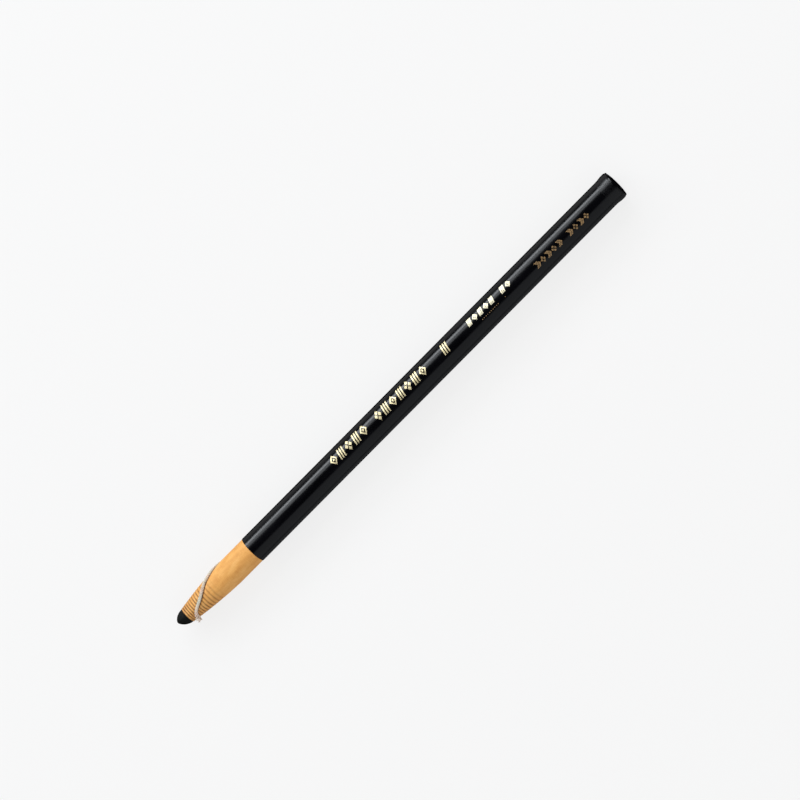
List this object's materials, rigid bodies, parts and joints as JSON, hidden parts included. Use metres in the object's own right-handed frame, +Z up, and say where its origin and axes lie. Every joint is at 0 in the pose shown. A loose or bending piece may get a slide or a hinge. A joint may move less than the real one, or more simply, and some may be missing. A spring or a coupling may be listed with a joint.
{
  "type": "charcoal pencil",
  "caption": "Paper-wrapped charcoal pencil that is peeled instead of sharpened: a pressed charcoal stick in peel-off paper ribbons with a pull string and a lacquered end.",
  "frame": {"origin": "on the surface that the pencil lies on, under the middle of its length", "axes": "+X from the tip to the lacquered end, +Z up, pencil lying on its side"},
  "size_m": [0.178, 0.009, 0.009],
  "materials": {
    "charcoal": "matte",
    "kraft": "matte",
    "cover_paper": "satin",
    "lacquer": "gloss",
    "foil": "satin",
    "string": "matte"
  },
  "bodies": {
    "root": {"charcoal_core": "charcoal", "pull_string_run": "string", "kraft_stub": "kraft", "cover_stub": "cover_paper", "end_dip": "lacquer", "foil_stub": "foil"},
    "front_ribbon": {"kraft_front": "kraft"},
    "string_end": {"pull_string_tail": "string"},
    "ribbon_1": {"kraft_ribbon_1": "kraft", "cover_ribbon_1": "cover_paper"},
    "ribbon_2": {"kraft_ribbon_2": "kraft", "cover_ribbon_2": "cover_paper", "foil_ribbon_2": "foil"},
    "ribbon_3": {"kraft_ribbon_3": "kraft", "cover_ribbon_3": "cover_paper", "foil_ribbon_3": "foil"},
    "ribbon_4": {"kraft_ribbon_4": "kraft", "cover_ribbon_4": "cover_paper", "foil_ribbon_4": "foil"},
    "ribbon_5": {"kraft_ribbon_5": "kraft", "cover_ribbon_5": "cover_paper", "foil_ribbon_5": "foil"}
  },
  "joints": [
    {"name": "ribbon_5_peel", "type": "slide", "parent": "root", "child": "ribbon_5", "axis": [-1, 0, 0], "range_m": [0, 0.1625]},
    {"name": "ribbon_4_peel", "type": "slide", "parent": "ribbon_5", "child": "ribbon_4", "axis": [-1, 0, 0], "range_m": [0, 0.1371]},
    {"name": "ribbon_3_peel", "type": "slide", "parent": "ribbon_4", "child": "ribbon_3", "axis": [-1, 0, 0], "range_m": [0, 0.1117]},
    {"name": "ribbon_2_peel", "type": "slide", "parent": "ribbon_3", "child": "ribbon_2", "axis": [-1, 0, 0], "range_m": [0, 0.0863]},
    {"name": "ribbon_1_peel", "type": "slide", "parent": "ribbon_2", "child": "ribbon_1", "axis": [-1, 0, 0], "range_m": [0, 0.0609]},
    {"name": "front_ribbon_peel", "type": "slide", "parent": "ribbon_1", "child": "front_ribbon", "axis": [-1, 0, 0], "range_m": [0, 0.0355]},
    {"name": "string_lift", "type": "hinge", "parent": "front_ribbon", "child": "string_end", "pos_m": [-0.0674, 0.00368, 0.00412], "axis": [-0.3563, 0.6721, -0.6491], "range_deg": [0, 60]}
  ]
}
